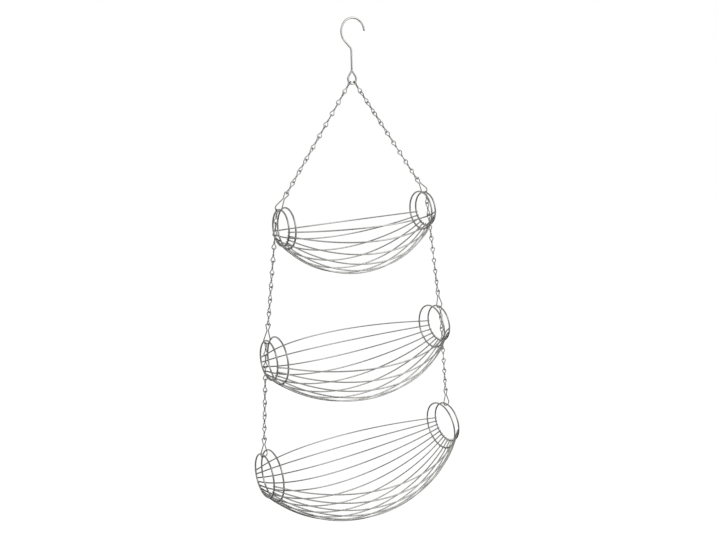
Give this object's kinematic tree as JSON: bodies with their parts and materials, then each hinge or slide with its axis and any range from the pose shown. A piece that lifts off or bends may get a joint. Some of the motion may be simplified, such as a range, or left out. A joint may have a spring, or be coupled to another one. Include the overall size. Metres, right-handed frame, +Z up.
{
  "type": "three-tier hanging wire basket",
  "caption": "Wire baskets of growing size hung one below the other on link chains from one ceiling hook, for fruit.",
  "frame": {"origin": "where the crook of the hook rests on whatever carries it, at the inside top of the crook", "axes": "+Z up along the hanging line, +X along the baskets towards the side where the crook is open, -Y towards the front"},
  "size_m": [0.39, 0.2228, 0.8559],
  "materials": {
    "hook_steel": "bright chrome-plated steel wire",
    "chain_steel": "bright chrome-plated link chain",
    "clip_steel": "bright chrome-plated spring wire",
    "ring_steel": "bright chrome-plated steel wire",
    "wire_steel": "bright chrome-plated steel wire"
  },
  "bodies": {
    "hook": {"hook": "hook_steel"},
    "first_links": {"upper_left_first_link": "chain_steel", "upper_right_first_link": "chain_steel"},
    "upper_chains": {"upper_left_chain": "chain_steel", "upper_right_chain": "chain_steel"},
    "top_basket": {"top_left_clip": "clip_steel", "top_right_clip": "clip_steel", "top_left_outer_ring": "ring_steel", "top_right_outer_ring": "ring_steel", "top_left_inner_ring": "ring_steel", "top_right_inner_ring": "ring_steel", "top_rim_wires": "wire_steel", "top_wires_2": "wire_steel", "top_wires_3": "wire_steel", "top_wires_4": "wire_steel", "top_wires_5": "wire_steel", "top_bottom_wires": "wire_steel"},
    "middle_chains": {"middle_left_chain": "chain_steel", "middle_right_chain": "chain_steel"},
    "middle_basket": {"middle_left_clip": "clip_steel", "middle_right_clip": "clip_steel", "middle_left_outer_ring": "ring_steel", "middle_right_outer_ring": "ring_steel", "middle_left_inner_ring": "ring_steel", "middle_right_inner_ring": "ring_steel", "middle_rim_wires": "wire_steel", "middle_wires_2": "wire_steel", "middle_wires_3": "wire_steel", "middle_wires_4": "wire_steel", "middle_wires_5": "wire_steel", "middle_wires_6": "wire_steel", "middle_bottom_wire": "wire_steel"},
    "bottom_chains": {"bottom_left_chain": "chain_steel", "bottom_right_chain": "chain_steel"},
    "bottom_basket": {"bottom_left_clip": "clip_steel", "bottom_right_clip": "clip_steel", "bottom_left_outer_ring": "ring_steel", "bottom_right_outer_ring": "ring_steel", "bottom_left_inner_ring": "ring_steel", "bottom_right_inner_ring": "ring_steel", "bottom_rim_wires": "wire_steel", "bottom_wires_2": "wire_steel", "bottom_wires_3": "wire_steel", "bottom_wires_4": "wire_steel", "bottom_wires_5": "wire_steel", "bottom_wires_6": "wire_steel", "bottom_wires_7": "wire_steel", "bottom_lowest_wires": "wire_steel"}
  },
  "joints": [
    {"name": "sling_sway", "type": "hinge", "parent": "hook", "child": "first_links", "pos_m": [0, 0, -0.09172], "axis": [0, 1, 0], "range_deg": [-12, 12]},
    {"name": "sling_swing", "type": "hinge", "parent": "first_links", "child": "upper_chains", "pos_m": [0, 0, -0.11362], "axis": [1, 0, 0], "range_deg": [-15, 15]},
    {"name": "top_basket_tip", "type": "hinge", "parent": "upper_chains", "child": "top_basket", "pos_m": [0, 0, -0.26217], "axis": [1, 0, 0], "range_deg": [-12, 12]},
    {"name": "middle_chains_swing", "type": "hinge", "parent": "top_basket", "child": "middle_chains", "pos_m": [0, 0, -0.28702], "axis": [1, 0, 0], "range_deg": [-12, 12]},
    {"name": "middle_basket_tip", "type": "hinge", "parent": "middle_chains", "child": "middle_basket", "pos_m": [0, 0, -0.46963], "axis": [1, 0, 0], "range_deg": [-12, 12]},
    {"name": "bottom_chains_swing", "type": "hinge", "parent": "middle_basket", "child": "bottom_chains", "pos_m": [0, 0, -0.50145], "axis": [1, 0, 0], "range_deg": [-12, 12]},
    {"name": "bottom_basket_tip", "type": "hinge", "parent": "bottom_chains", "child": "bottom_basket", "pos_m": [0, 0, -0.66401], "axis": [1, 0, 0], "range_deg": [-12, 12]}
  ]
}
